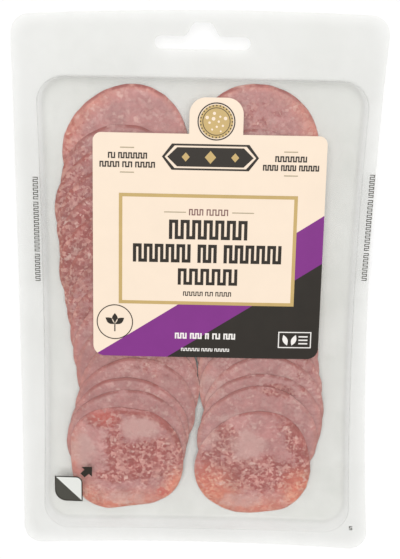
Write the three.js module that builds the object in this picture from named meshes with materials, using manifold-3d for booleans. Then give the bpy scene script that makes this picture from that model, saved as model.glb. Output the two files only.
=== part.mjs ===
// Retail pack of sliced salami, lying on its back with the label up.
// A shallow clear tray with a wide flange and a header holds two shingled columns of round
// slices. A clear lid film is sealed over it, and a die-cut label is stuck on the film.
// Millimetres, +Z up, +Y towards the header; the origin is under the middle of the pack.

import * as THREE from "three";
import { mergeVertices } from "three/addons/utils/BufferGeometryUtils.js";
import Module from "manifold-3d";

const wasm = await Module();
wasm.setup();

// ---- Driving dimensions ----------------------------------------------------------------

// Outside edge of the pack: lower left, lower right, upper right and upper left corner.
const PACK_CORNERS = [[-78.4, -121.5], [80.14, -122.0], [77.1, 121.2], [-80.1, 119.2]];
const PACK_CORNER_RADIUS = 8;
// How far the bottom, right, top and left side bow inwards; the top is slightly crowned.
const PACK_BOWS = [1.9, 4.2, -1.7, 0.6];

const TRAY_DEPTH = 10;
const TRAY_WALL = 0.5;
// Mouth of the cavity, in the plane of the flange, in the same order.
const CAVITY_CORNERS = [[-69.0, -113.8], [71.4, -113.8], [70.3, 94.0], [-69.8, 94.0]];
const CAVITY_CORNER_RADIUS = 8.7;
const CAVITY_BOWS = [0.6, 2.3, 0, 1.3];
const LIP_ROUNDING = 0.9;
const WALL_DRAFT = 1.9;
const FLOOR_ROUNDING = 2.2;

// Hang hole: a slot with round ends and a peak in its upper edge.
const HOLE_CENTRE_X = -0.3;
const SLOT_WIDTH = 39.9;
const SLOT_BOTTOM = 105.9;
const SLOT_HEIGHT = 5.3;
const PEAK_TOP = 116.9;
const PEAK_BASE_HALF = 8;
const PEAK_TOP_HALF = 2.6;

const SEAL_GAP = 0.3;
const FILM_THICKNESS = 0.2;
// The film stands this far above the flange over the middle of the food.
const FILM_RISE = 1.6;
const FILM_SQUARENESS = 4;
const FILM_CELLS_ACROSS = 12;
const FILM_CELLS_ALONG = 14;
// The uncut sheet reaches this far beyond the cavity, past the pack's outside edge.
const SHEET_MARGIN = 40;

const LABEL_THICKNESS = 0.25;
const LABEL_LEFT = -46;
const LABEL_RIGHT = 53.5;
const LABEL_BOTTOM = -28.5;
const LABEL_TOP = 70.8;
const LABEL_TOP_RADIUS = 3.6;
const LABEL_BOTTOM_RADIUS = 5;
// A round-shouldered tab stands on the label's upper edge.
const TAB_CENTRE_X = 6.2;
const TAB_HALF = 11.4;
const TAB_HEIGHT = 15.4;
const TAB_SHOULDER = 7;

const SLICES_IN_COLUMN = 16;
const SLICE_RADIUS = 27.5;
const SLICE_THICKNESS = 1.3;
const SLICE_GAP = 0.12;
const SLICE_FLOOR_CLEARANCE = 0.5;
const SLICE_UNEVENNESS = 0.022;
// Turns of the uneven rim between one slice and the next, and between a slice's two sides.
const SLICE_PHASE_STEP = 1.7;
const SIDE_PHASE_STEP = 2;
// A slice is drawn between these angles of its rim, in steps along the pack.
const RIM_END_ANGLE = THREE.MathUtils.degToRad(86);
const RIM_STEPS = 12;
const CLOSEST_ROWS = 0.5;
// Height changes along the pack in straight stretches of this length, alike in every slice.
const BAND = 6;
// Slices are stiff, so the slope of a column is averaged over this distance each way.
const SLOPE_REACH = 9;

// Per column: where the first and the last slice lie, the steps between slices at both ends,
// and how the column wanders from side to side from the header to the foot.
const COLUMNS = {
  left: {
    firstY: 62.9, lastY: -81.4, firstStep: 17, lastSteps: [10.2, 5.4, 8.8],
    pathX: [-32.6, -35.1, -34.7, -31.5, -29.1, -26.1, -29.2, -32.4], seed: 11,
  },
  right: {
    firstY: 64.1, lastY: -82.2, firstStep: 19, lastSteps: [7.4, 6.6, 12.4],
    pathX: [23.6, 23.1, 22.9, 23.6, 25.6, 29.2, 30.0, 27.6], seed: 47,
  },
};

const COLOURS = {
  tray: 0xeff1ed,
  film: 0xf4f5f2,
  label: 0xfcebd5,
  salami: 0xbc8a85,
};

// ---- Outlines --------------------------------------------------------------------------

const CORNER_STEPS = 7;
const SIDE_STEPS = 8;

function toVectors(corners) {
  return corners.map(([x, y]) => new THREE.Vector2(x, y));
}

// Moves the four corners of an outline inwards by the same distance along X and Y.
function insetCorners(corners, inset) {
  const signs = [[1, 1], [-1, 1], [-1, -1], [1, -1]];
  return corners.map(([x, y], i) => [x + signs[i][0] * inset, y + signs[i][1] * inset]);
}

// Anticlockwise outline with round corners, whose sides bow inwards by the given depths.
function bowedOutline(corners, bows, radius) {
  const points = [];
  const c = toVectors(corners);
  const direction = (i) => c[(i + 1) % 4].clone().sub(c[i % 4]).normalize();
  for (let i = 0; i < 4; i += 1) {
    const before = direction(i + 3);
    const after = direction(i);
    const centre = c[i].clone().addScaledVector(before, -radius).addScaledVector(after, radius);
    for (let j = 0; j <= CORNER_STEPS; j += 1) {
      const angle = (j / CORNER_STEPS) * Math.PI / 2;
      points.push(centre.clone()
        .addScaledVector(after, -radius * Math.cos(angle))
        .addScaledVector(before, radius * Math.sin(angle)));
    }
    const start = points[points.length - 1];
    const end = c[(i + 1) % 4].clone().addScaledVector(after, -radius);
    const inwards = new THREE.Vector2(-after.y, after.x);
    for (let j = 1; j < SIDE_STEPS; j += 1) {
      const s = j / SIDE_STEPS;
      points.push(start.clone().lerp(end, s).addScaledVector(inwards, bows[i] * 4 * s * (1 - s)));
    }
  }
  return points;
}

const packOutline = () => bowedOutline(PACK_CORNERS, PACK_BOWS, PACK_CORNER_RADIUS);

function cavityOutline(inset) {
  const radius = CAVITY_CORNER_RADIUS - inset;
  return bowedOutline(insetCorners(CAVITY_CORNERS, inset), CAVITY_BOWS, radius);
}

function hangHolePath() {
  const end = SLOT_HEIGHT / 2;
  const half = SLOT_WIDTH / 2 - end;
  const x = HOLE_CENTRE_X;
  const top = SLOT_BOTTOM + SLOT_HEIGHT;
  const bend = (PEAK_BASE_HALF + PEAK_TOP_HALF) / 2;
  const path = new THREE.Shape();
  path.absarc(x + half, SLOT_BOTTOM + end, end, -Math.PI / 2, Math.PI / 2, false);
  path.lineTo(x + PEAK_BASE_HALF, top);
  path.bezierCurveTo(x + bend, top, x + bend, PEAK_TOP, x + PEAK_TOP_HALF, PEAK_TOP);
  path.lineTo(x - PEAK_TOP_HALF, PEAK_TOP);
  path.bezierCurveTo(x - bend, PEAK_TOP, x - bend, top, x - PEAK_BASE_HALF, top);
  path.absarc(x - half, SLOT_BOTTOM + end, end, Math.PI / 2, Math.PI * 1.5, false);
  path.closePath();
  return path;
}

function labelShape() {
  const shape = new THREE.Shape();
  const corner = (x, y, r, from) => {
    shape.absarc(x, y, r, from, from + Math.PI / 2, false);
  };
  const quarter = Math.PI / 2;
  const tabTop = LABEL_TOP + TAB_HEIGHT - TAB_SHOULDER;
  corner(LABEL_RIGHT - LABEL_BOTTOM_RADIUS, LABEL_BOTTOM + LABEL_BOTTOM_RADIUS,
    LABEL_BOTTOM_RADIUS, -quarter);
  corner(LABEL_RIGHT - LABEL_TOP_RADIUS, LABEL_TOP - LABEL_TOP_RADIUS, LABEL_TOP_RADIUS, 0);
  shape.lineTo(TAB_CENTRE_X + TAB_HALF, LABEL_TOP);
  corner(TAB_CENTRE_X + TAB_HALF - TAB_SHOULDER, tabTop, TAB_SHOULDER, 0);
  corner(TAB_CENTRE_X - TAB_HALF + TAB_SHOULDER, tabTop, TAB_SHOULDER, quarter);
  shape.lineTo(TAB_CENTRE_X - TAB_HALF, LABEL_TOP);
  corner(LABEL_LEFT + LABEL_TOP_RADIUS, LABEL_TOP - LABEL_TOP_RADIUS, LABEL_TOP_RADIUS, quarter);
  corner(LABEL_LEFT + LABEL_BOTTOM_RADIUS, LABEL_BOTTOM + LABEL_BOTTOM_RADIUS,
    LABEL_BOTTOM_RADIUS, 2 * quarter);
  shape.closePath();
  return shape;
}

// ---- Solids ----------------------------------------------------------------------------

const CURVE_SEGMENTS = 8;
const PROFILE_SEGMENTS = 3;
const SAME_POINT = 1e-4;

function toManifold(geometry) {
  geometry.deleteAttribute("normal");
  geometry.deleteAttribute("uv");
  const merged = mergeVertices(geometry, SAME_POINT);
  return new wasm.Manifold(new wasm.Mesh({
    numProp: 3,
    vertProperties: new Float32Array(merged.attributes.position.array),
    triVerts: new Uint32Array(merged.index.array),
  }));
}

function fromManifold(solid) {
  const { vertProperties, triVerts } = solid.getMesh();
  return fromTriangles(Array.from(vertProperties), Array.from(triVerts));
}

function fromTriangles(positions, indices) {
  const geometry = new THREE.BufferGeometry();
  geometry.setAttribute("position", new THREE.Float32BufferAttribute(positions, 3));
  geometry.setIndex(indices);
  geometry.computeVertexNormals();
  return geometry;
}

// A plate of the given outline that reaches well above and below the flange, for cutting.
function cutter(shape) {
  const reach = TRAY_DEPTH;
  const plate = new THREE.ExtrudeGeometry(shape, {
    depth: 2 * reach, bevelEnabled: false, curveSegments: CURVE_SEGMENTS,
  });
  plate.translate(0, 0, TRAY_DEPTH - reach);
  return toManifold(plate);
}

// Closed skin through rings of equally many points: the first and the last ring are capped.
function loft(rings) {
  const count = rings[0].length;
  const positions = rings.flat().flatMap((p) => [p.x, p.y, p.z]);
  const indices = [];
  for (let i = 0; i + 1 < rings.length; i += 1) {
    for (let j = 0; j < count; j += 1) {
      const a = i * count + j;
      const b = i * count + (j + 1) % count;
      indices.push(a, b, b + count, a, b + count, a + count);
    }
  }
  const last = (rings.length - 1) * count;
  const cap = (ring) => THREE.ShapeUtils.triangulateShape(ring, []);
  cap(rings[0]).forEach(([a, b, c]) => indices.push(c, b, a));
  cap(rings[rings.length - 1]).forEach(([a, b, c]) => indices.push(last + a, last + b, last + c));
  return fromTriangles(positions, indices);
}

// Section of the cavity's inner face, as inset from its mouth and height, from lip to floor.
function cavityProfile() {
  const floor = TRAY_WALL;
  const wallTop = TRAY_DEPTH - LIP_ROUNDING;
  const wallFoot = floor + FLOOR_ROUNDING;
  const slope = WALL_DRAFT / (TRAY_DEPTH - floor);
  const profile = new THREE.Path();
  profile.moveTo(-LIP_ROUNDING, TRAY_DEPTH);
  profile.quadraticCurveTo(0, TRAY_DEPTH, slope * LIP_ROUNDING, wallTop);
  profile.lineTo(WALL_DRAFT - slope * FLOOR_ROUNDING, wallFoot);
  profile.quadraticCurveTo(WALL_DRAFT, floor, WALL_DRAFT + FLOOR_ROUNDING, floor);
  return profile.getPoints(PROFILE_SEGMENTS);
}

function ringAt(outline, z) {
  return outline.map((p) => new THREE.Vector3(p.x, p.y, z));
}

function traySolid() {
  const profile = cavityProfile();
  const inside = profile.map((p) => ringAt(cavityOutline(p.x), p.y));
  const outside = profile.map((p) => ringAt(cavityOutline(p.x - TRAY_WALL), p.y - TRAY_WALL));
  const rings = [
    ...outside.reverse(),
    ringAt(packOutline(), TRAY_DEPTH - TRAY_WALL),
    ringAt(packOutline(), TRAY_DEPTH),
    ...inside,
  ];
  return fromManifold(toManifold(loft(rings)).subtract(cutter(hangHolePath())));
}

// How far the film stands above the flange at a place on the pack.
function filmRise(x, y) {
  const [[left, bottom], , [right, top]] = CAVITY_CORNERS;
  const u = Math.abs((2 * x - left - right) / (right - left));
  const v = Math.abs((2 * y - bottom - top) / (top - bottom));
  if (u >= 1 || v >= 1) return 0;
  return FILM_RISE * (1 - u ** FILM_SQUARENESS) * (1 - v ** FILM_SQUARENESS);
}

// Grid lines across a cavity span, closest at its edges, with one more beyond each end.
function gridLines(low, high, cells) {
  const margin = SHEET_MARGIN;
  const lines = [low - margin];
  for (let i = 0; i <= cells; i += 1) {
    const turn = Math.sin((i / cells - 0.5) * Math.PI);
    lines.push((low + high) / 2 + turn * (high - low) / 2);
  }
  lines.push(high + margin);
  return lines;
}

// Thin sheet that follows the film's rise, from one height above the floor to another.
function risenSheet(underside, topside) {
  const [[left, bottom], , [right, top]] = CAVITY_CORNERS;
  const xs = gridLines(left, right, FILM_CELLS_ACROSS);
  const ys = gridLines(bottom, top, FILM_CELLS_ALONG);
  const positions = [];
  for (const base of [underside, topside]) {
    for (const y of ys) {
      for (const x of xs) positions.push(x, y, base + filmRise(x, y));
    }
  }
  const layer = xs.length * ys.length;
  const at = (i, j) => j * xs.length + i;
  const indices = [];
  for (let j = 0; j + 1 < ys.length; j += 1) {
    for (let i = 0; i + 1 < xs.length; i += 1) {
      const [a, b, c, d] = [at(i, j), at(i + 1, j), at(i + 1, j + 1), at(i, j + 1)];
      indices.push(a, c, b, a, d, c);
      indices.push(layer + a, layer + b, layer + c, layer + a, layer + c, layer + d);
    }
  }
  const rim = [];
  for (let i = 0; i < xs.length - 1; i += 1) rim.push(at(i, 0));
  for (let j = 0; j < ys.length - 1; j += 1) rim.push(at(xs.length - 1, j));
  for (let i = xs.length - 1; i > 0; i -= 1) rim.push(at(i, ys.length - 1));
  for (let j = ys.length - 1; j > 0; j -= 1) rim.push(at(0, j));
  rim.forEach((a, i) => {
    const b = rim[(i + 1) % rim.length];
    indices.push(a, b, layer + b, a, layer + b, layer + a);
  });
  return toManifold(fromTriangles(positions, indices));
}

function filmSolid() {
  const shape = new THREE.Shape(packOutline());
  const underside = TRAY_DEPTH + SEAL_GAP;
  const sheet = risenSheet(underside, underside + FILM_THICKNESS);
  return fromManifold(sheet.intersect(cutter(shape)).subtract(cutter(hangHolePath())));
}

function labelSolid() {
  const underside = TRAY_DEPTH + SEAL_GAP + FILM_THICKNESS + SEAL_GAP;
  const sheet = risenSheet(underside, underside + LABEL_THICKNESS);
  return fromManifold(sheet.intersect(cutter(labelShape())));
}

// ---- Slices ----------------------------------------------------------------------------

// Places of a column's slices along the pack: long first step, given last steps, even between.
function slicePlaces({ firstY, lastY, firstStep, lastSteps }) {
  const known = firstStep + lastSteps.reduce((sum, step) => sum + step, 0);
  const evenCount = SLICES_IN_COLUMN - 2 - lastSteps.length;
  const even = (firstY - lastY - known) / evenCount;
  const steps = [firstStep, ...new Array(evenCount).fill(even), ...lastSteps];
  const places = [firstY];
  steps.forEach((step) => places.push(places[places.length - 1] - step));
  return places;
}

// How many slices' lower ends have been passed at a place along the column, as a fraction.
function slicesPassed(places, y) {
  const ends = places.map((centre) => centre - SLICE_RADIUS);
  if (y >= ends[0]) return 1 - (y - ends[0]) / (ends[0] - ends[1]);
  for (let k = 1; k < ends.length; k += 1) {
    if (y >= ends[k]) return k + (ends[k - 1] - y) / (ends[k - 1] - ends[k]);
  }
  return ends.length;
}

function smoothSlicesPassed(places, y) {
  const shifts = [-1, -0.5, 0, 0.5, 1];
  const sum = shifts.reduce((total, s) => total + slicesPassed(places, y + s * SLOPE_REACH), 0);
  return sum / shifts.length;
}

// Height of the underside of a slice: level on the slices under it, then down to the floor.
function sliceUnderside(places, index, y) {
  const passedAt = (line) => Math.max(0, smoothSlicesPassed(places, line) - 1);
  const line = Math.floor(y / BAND) * BAND;
  const passed = THREE.MathUtils.lerp(passedAt(line), passedAt(line + BAND), (y - line) / BAND);
  const layer = SLICE_THICKNESS + SLICE_GAP;
  return TRAY_WALL + SLICE_FLOOR_CLEARANCE + layer * (index - passed);
}

// Rows across a slice: evenly turned steps of its rim, and every line where the slope changes.
function rowPlaces(centreY) {
  const rows = [];
  for (let i = 0; i <= RIM_STEPS; i += 1) {
    const angle = (2 * i / RIM_STEPS - 1) * RIM_END_ANGLE;
    rows.push(centreY + SLICE_RADIUS * Math.sin(angle));
  }
  const [low, high] = [rows[0], rows[RIM_STEPS]];
  for (let y = Math.ceil(low / BAND) * BAND; y < high; y += BAND) rows.push(y);
  rows.sort((a, b) => a - b);
  return rows.filter((y, i) => i === 0 || y - rows[i - 1] > CLOSEST_ROWS || y % BAND === 0);
}

// Uneven rim: a little more or less than round, differently on the two sides of each slice.
function rimFactor(turn, phase) {
  const slow = Math.sin(2 * turn + phase);
  const fast = Math.sin(5 * turn + 2.3 * phase);
  return 1 + SLICE_UNEVENNESS * (slow + 0.5 * fast) - SLICE_UNEVENNESS;
}

function sliceSolid(places, index, centreX, phase) {
  const centreY = places[index];
  const rows = rowPlaces(centreY);
  const positions = [];
  for (const y of rows) {
    const turn = Math.asin(THREE.MathUtils.clamp((y - centreY) / SLICE_RADIUS, -1, 1));
    const half = SLICE_RADIUS * Math.cos(turn);
    const left = centreX - half * rimFactor(turn, phase);
    const right = centreX + half * rimFactor(turn, phase + SIDE_PHASE_STEP);
    const low = sliceUnderside(places, index, y);
    const high = low + SLICE_THICKNESS;
    positions.push(left, y, low, right, y, low, right, y, high, left, y, high);
  }
  const indices = [0, 1, 2, 0, 2, 3];
  for (let i = 0; i + 1 < rows.length; i += 1) {
    const [a, b] = [4 * i, 4 * i + 4];
    for (let side = 0; side < 4; side += 1) {
      const next = (side + 1) % 4;
      indices.push(a + side, b + side, b + next, a + side, b + next, a + next);
    }
  }
  const end = 4 * (rows.length - 1);
  indices.push(end, end + 2, end + 1, end, end + 3, end + 2);
  return fromTriangles(positions, indices);
}

// ---- Assembly --------------------------------------------------------------------------

function clearPlastic(colour, opacity) {
  return new THREE.MeshStandardMaterial({
    color: colour, roughness: 0.25, metalness: 0, transparent: true, opacity,
  });
}

function namedMesh(name, geometry, material) {
  const mesh = new THREE.Mesh(geometry, material);
  mesh.name = name;
  return mesh;
}

function sliceColumn(side) {
  const { pathX, seed, ...spacing } = COLUMNS[side];
  const places = slicePlaces(spacing);
  const path = new THREE.SplineCurve(pathX.map((x, i) => new THREE.Vector2(i, x)));
  const column = new THREE.Group();
  for (let index = 0; index < SLICES_IN_COLUMN; index += 1) {
    const centreX = path.getPoint(index / (SLICES_IN_COLUMN - 1)).y;
    const meat = new THREE.MeshStandardMaterial({ color: COLOURS.salami, roughness: 0.45 });
    const name = `slice_${side}_${String(index + 1).padStart(2, "0")}`;
    const phase = seed + SLICE_PHASE_STEP * index;
    column.add(namedMesh(name, sliceSolid(places, index, centreX, phase), meat));
  }
  return column;
}

const pack = new THREE.Group();
pack.add(namedMesh("tray", traySolid(), clearPlastic(COLOURS.tray, 0.4)));
pack.add(namedMesh("film", filmSolid(), clearPlastic(COLOURS.film, 0.25)));
pack.add(namedMesh("label", labelSolid(), new THREE.MeshStandardMaterial({
  color: COLOURS.label, roughness: 0.5, metalness: 0,
})));
pack.add(sliceColumn("left"), sliceColumn("right"));

export default pack;
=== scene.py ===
# %% [markdown]
# # A pack of sliced salami
# The real object is a shallow clear tray with a wide flange and a hang hole, thirty-two thin
# slices that lie like roof tiles in two columns, a clear film welded over them and a die-cut
# label stuck on the film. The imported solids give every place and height, so this lesson only
# gives each piece its fine shape and its finish. We work in millimetres and turn them into
# metres where a mesh is made.

# %% Load the fixed frame
import math
import bmesh
import bpy
import numpy as np
from mathutils import Matrix, Vector
from mathutils.geometry import delaunay_2d_cdt


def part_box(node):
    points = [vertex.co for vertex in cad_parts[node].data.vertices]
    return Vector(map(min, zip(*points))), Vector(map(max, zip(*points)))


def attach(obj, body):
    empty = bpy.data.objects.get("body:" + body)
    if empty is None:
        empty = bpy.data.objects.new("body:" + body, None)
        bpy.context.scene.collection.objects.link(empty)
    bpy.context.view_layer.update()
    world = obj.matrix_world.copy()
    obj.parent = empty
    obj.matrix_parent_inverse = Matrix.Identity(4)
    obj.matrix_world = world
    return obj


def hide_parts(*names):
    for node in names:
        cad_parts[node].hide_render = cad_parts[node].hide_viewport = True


MM = 0.001
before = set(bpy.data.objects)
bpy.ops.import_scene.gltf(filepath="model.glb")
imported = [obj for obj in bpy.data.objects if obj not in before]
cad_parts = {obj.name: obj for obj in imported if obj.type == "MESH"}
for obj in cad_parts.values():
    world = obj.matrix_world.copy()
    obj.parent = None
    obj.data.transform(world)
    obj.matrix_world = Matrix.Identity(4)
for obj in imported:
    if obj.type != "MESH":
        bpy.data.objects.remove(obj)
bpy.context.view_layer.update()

# %% [markdown]
# ## Camera, floor and light
# The photograph looks down on the pack from just beyond its header, with a long lens and a
# slight roll. A camera can be aimed with a Track To constraint, but building its matrix from
# three axes keeps the roll exact. The floor is plain and nearly white. An area lamp would give
# soft shadows too, but a sun with a wide disc lights the floor evenly as far as it goes, and a
# pale world fills the shadows, as in a product photograph.

# %% Camera
CAMERA_PLACE = Vector((0.6, 147.59, 518.13))
CAMERA_TILT = math.radians(15.5)
CAMERA_ROLL = math.radians(1.15)
PHOTO_HEIGHT = 559
FOCAL_LENGTH_PIXELS = 1205
SENSOR_SIZE = 36

back = Vector((0, math.sin(CAMERA_TILT), math.cos(CAMERA_TILT)))
level_right = Vector((1, 0, 0))
level_up = back.cross(level_right)
right = level_right * math.cos(CAMERA_ROLL) + level_up * math.sin(CAMERA_ROLL)
up = back.cross(right)

scene = bpy.context.scene
camera = bpy.data.objects.new("camera", bpy.data.cameras.new("camera"))
camera.data.sensor_width = SENSOR_SIZE
camera.data.lens = SENSOR_SIZE * FOCAL_LENGTH_PIXELS / PHOTO_HEIGHT
axes = Matrix((right, up, back)).transposed().to_4x4()
camera.matrix_world = Matrix.Translation(CAMERA_PLACE * MM) @ axes
scene.collection.objects.link(camera)
scene.camera = camera
print(f"camera lens {camera.data.lens:.1f} mm")

# %% Functions that add nodes and feed their inputs
def feed(node, values):
    """Links or sets a node's inputs, which are given by name or by number."""
    for key, value in values.items():
        if isinstance(value, Value):
            node.id_data.links.new(value.socket, node.inputs[key])
        else:
            node.inputs[key].default_value = value


def wire(tree, kind, values=None, **settings):
    """Adds a node with its settings and inputs."""
    node = tree.nodes.new(kind)
    for name, setting in settings.items():
        setattr(node, name, setting)
    feed(node, values or {})
    return node


def flow(tree, kind, values=None, output=0, **settings):
    """Adds a node, and returns one of its outputs as a Value."""
    return Value(wire(tree, kind, values, **settings).outputs[output])


class Value:
    """What a socket gives. Python's + - * / and ** on a Value add Math nodes."""

    def __init__(self, socket):
        self.socket = socket
        self.tree = socket.id_data

    def maths(self, operation, *others):
        values = dict(enumerate((self, *others)))
        return flow(self.tree, "ShaderNodeMath", values, operation=operation)

    def __add__(self, other):
        return self.maths("ADD", other)

    def __sub__(self, other):
        return self.maths("SUBTRACT", other)

    def __mul__(self, other):
        return self.maths("MULTIPLY", other)

    def __truediv__(self, other):
        return self.maths("DIVIDE", other)

    def __pow__(self, other):
        return self.maths("POWER", other)

# %% Noise, ranges, relief and new materials
def noise(tree, places, scale, detail, roughness=0.5, seed=None):
    """Noise from 0 to 1. A seed picks it from a fourth dimension."""
    values = {"Vector": places, "Scale": scale, "Detail": detail, "Roughness": roughness}
    if seed is None:
        return flow(tree, "ShaderNodeTexNoise", values)
    return flow(tree, "ShaderNodeTexNoise", {**values, "W": seed}, noise_dimensions="4D")


def ranged(value, low, high, out_low=0.0, out_high=1.0, kind="LINEAR"):
    """Carries the range low to high over to out_low to out_high, and stops at both ends."""
    return flow(value.tree, "ShaderNodeMapRange", {
        "Value": value, "From Min": low, "From Max": high, "To Min": out_low, "To Max": out_high},
        interpolation_type=kind)


def relief(height, strength, depth):
    """Normals for a fine relief of the given depth in millimetres."""
    return flow(height.tree, "ShaderNodeBump",
                {"Strength": strength, "Distance": depth * MM, "Height": height})


def new_material(name, roughness):
    """A material with a Principled shader, and its Object coordinates in millimetres."""
    material = bpy.data.materials.new(name)
    material.use_nodes = True
    tree = material.node_tree
    shader = tree.nodes["Principled BSDF"]
    feed(shader, {"Roughness": roughness})
    metres = flow(tree, "ShaderNodeTexCoord", output="Object")
    places = flow(tree, "ShaderNodeVectorMath", {0: metres, "Scale": 1 / MM}, operation="SCALE")
    return material, tree, shader, places

# %% Floor
FLOOR_SIDE = 40.0
FLOOR_DROP = 0.00005
FLOOR_COLOUR = (0.98, 0.98, 0.98, 1)


def make_floor():
    half = FLOOR_SIDE / 2
    corners = [(-half, -half), (half, -half), (half, half), (-half, half)]
    mesh = bpy.data.meshes.new("floor")
    mesh.from_pydata([(x, y, -FLOOR_DROP) for x, y in corners], [], [(0, 1, 2, 3)])
    material, _, shader, _ = new_material("floor", 0.9)
    feed(shader, {"Base Color": FLOOR_COLOUR, "Specular IOR Level": 0})
    mesh.materials.append(material)
    floor = bpy.data.objects.new("floor", mesh)
    scene.collection.objects.link(floor)


make_floor()
print("floor", FLOOR_SIDE, "m square")

# %% World and lamp
WORLD_COLOUR = (1, 1, 1, 1)
WORLD_STRENGTH = 0.37
LAMP_FROM = Vector((-0.05, 0.68, 2.4))
LAMP_SPREAD = math.radians(40)
LAMP_POWER = 2.24
TRANSPARENT_BOUNCES = 24

world = bpy.data.worlds.new("studio")
world.use_nodes = True
feed(world.node_tree.nodes["Background"], {"Color": WORLD_COLOUR, "Strength": WORLD_STRENGTH})
scene.world = world

lamp = bpy.data.objects.new("soft_lamp", bpy.data.lights.new("soft_lamp", "SUN"))
lamp.data.angle = LAMP_SPREAD
lamp.data.energy = LAMP_POWER
turn = LAMP_FROM.to_track_quat("Z", "Y").to_matrix().to_4x4()
lamp.matrix_world = Matrix.Translation(LAMP_FROM) @ turn
scene.collection.objects.link(lamp)
scene.view_settings.view_transform = "Standard"
# Light that crosses tray and film at a slant meets many clear faces, and would stop at the
# eighth and leave dark bands.
scene.cycles.transparent_max_bounces = TRANSPARENT_BOUNCES
print("lamp", LAMP_POWER, "watts on a square metre")

# %% [markdown]
# ## Outlines and thin sheets
# Tray, film, label and every printed mark are flat outlines that are given a thickness and
# laid over the film's gentle dome. A Grid with a Boolean would do, but a constrained Delaunay
# triangulation takes any outline with holes and adds a lattice of inner points, so that each
# sheet can bend. The even-odd rule decides what is inside, as it does for letters in a font.

# %% Outline with bowed sides and round corners
CORNER_STEPS = 14
SIDE_STEPS = 24


def bowed_outline(corners, bows, radius):
    """Anticlockwise outline whose four sides bow inwards by the given depths."""
    spots = [Vector(corner) for corner in corners]
    points = []
    for i in range(4):
        before = (spots[i] - spots[i - 1]).normalized()
        after = (spots[(i + 1) % 4] - spots[i]).normalized()
        centre = spots[i] - before * radius + after * radius
        for step in range(CORNER_STEPS + 1):
            turn = step / CORNER_STEPS * math.pi / 2
            swing = before * math.sin(turn) - after * math.cos(turn)
            points.append(centre + swing * radius)
        start = points[-1]
        end = spots[(i + 1) % 4] - after * radius
        inwards = Vector((-after.y, after.x))
        for step in range(1, SIDE_STEPS):
            share = step / SIDE_STEPS
            points.append(start.lerp(end, share) + inwards * bows[i] * 4 * share * (1 - share))
    return [(point.x, point.y) for point in points]


def arc(x, y, radius, start, end, steps):
    """Points on an arc between two angles in degrees."""
    turns = np.radians(np.linspace(start, end, steps + 1))
    return [(x + radius * math.cos(turn), y + radius * math.sin(turn)) for turn in turns]

# %% Fill outlines with triangles
SAME_PLACE = 1e-5


def inside(outlines, x, y):
    """True where a place lies inside an odd number of outlines."""
    crossings = np.zeros(np.shape(x), int)
    for outline in outlines:
        for (x0, y0), (x1, y1) in zip(outline, outline[1:] + outline[:1]):
            if y0 != y1:
                spans = (y0 > y) != (y1 > y)
                crossings += spans & (x < x0 + (y - y0) * (x1 - x0) / (y1 - y0))
    return crossings % 2 == 1


def divided(outline, longest):
    """The same outline with extra points, so that no side is longer than the given length."""
    points = []
    for here, there in zip(outline, outline[1:] + outline[:1]):
        pieces = max(1, math.ceil(math.dist(here, there) / longest))
        for i in range(pieces):
            points.append(tuple(a + (b - a) * i / pieces for a, b in zip(here, there)))
    return points


def fill(outlines, cell):
    """Triangles inside the outlines, with further points on a lattice of the given cell."""
    points = [Vector(point) for outline in outlines for point in outline]
    edges = []
    for outline in outlines:
        first = len(edges)
        edges += [(first + i, first + (i + 1) % len(outline)) for i in range(len(outline))]
    every = np.array(points)
    low = np.ceil(every.min(0) / cell) * cell
    x, y = np.meshgrid(np.arange(low[0], every[:, 0].max(), cell),
                       np.arange(low[1], every[:, 1].max(), cell))
    keep = inside(outlines, x, y)
    points += [Vector(place) for place in zip(x[keep], y[keep])]
    found, _, faces, *_ = delaunay_2d_cdt(points, edges, [], 1, SAME_PLACE)
    found = np.array(found)
    middles = found[np.array(faces)].mean(1)
    kept = inside(outlines, middles[:, 0], middles[:, 1])
    return found, [face for face, good in zip(faces, kept) if good]

# %% Meshes from points in millimetres
WELD_DISTANCE = 1e-4
SHEET_CELL = 4
CREASE_ANGLE = math.radians(30)


def new_piece(name, points, faces, material):
    """A mesh object at the origin, welded, with all of its faces pointing outwards."""
    mesh = bpy.data.meshes.new(name)
    mesh.from_pydata((np.asarray(points) * MM).tolist(), [], faces)
    shape = bmesh.new()
    shape.from_mesh(mesh)
    bmesh.ops.remove_doubles(shape, verts=shape.verts, dist=WELD_DISTANCE * MM)
    bmesh.ops.recalc_face_normals(shape, faces=shape.faces)
    torn = sum(not edge.is_manifold for edge in shape.edges)
    shape.to_mesh(mesh)
    shape.free()
    mesh.materials.append(material)
    piece = bpy.data.objects.new(name, mesh)
    scene.collection.objects.link(piece)
    print(f"{name}: {len(mesh.polygons)} faces, {torn} open edges")
    return piece


def sheet(name, outlines, underside, topside, material):
    """A closed sheet between two height functions of x and y."""
    flat, triangles = fill([divided(outline, SHEET_CELL) for outline in outlines], SHEET_CELL)
    x, y = flat.T
    low = np.column_stack((x, y, underside(x, y)))
    high = np.column_stack((x, y, topside(x, y)))
    count = len(flat)
    faces = [(c, b, a) for a, b, c in triangles]
    faces += [(a + count, b + count, c + count) for a, b, c in triangles]
    sides = {(face[i], face[(i + 1) % 3]) for face in triangles for i in range(3)}
    for a, b in sides:
        if (b, a) not in sides:
            faces.append((a, b, b + count, a + count))
    return new_piece(name, np.vstack((low, high)), faces, material)


def shade_smooth(piece):
    """Smooth shading that keeps sharp edges sharp."""
    piece.data.polygons.foreach_set("use_smooth", [True] * len(piece.data.polygons))
    piece.data.set_sharp_from_angle(angle=CREASE_ANGLE)


def dress(piece, slot, *nodes):
    """Ties a finished piece to the pack and hides the solids that it stands for. The slot is not
    used.
    """
    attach(piece, "root")
    if nodes:
        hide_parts(*nodes)

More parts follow.
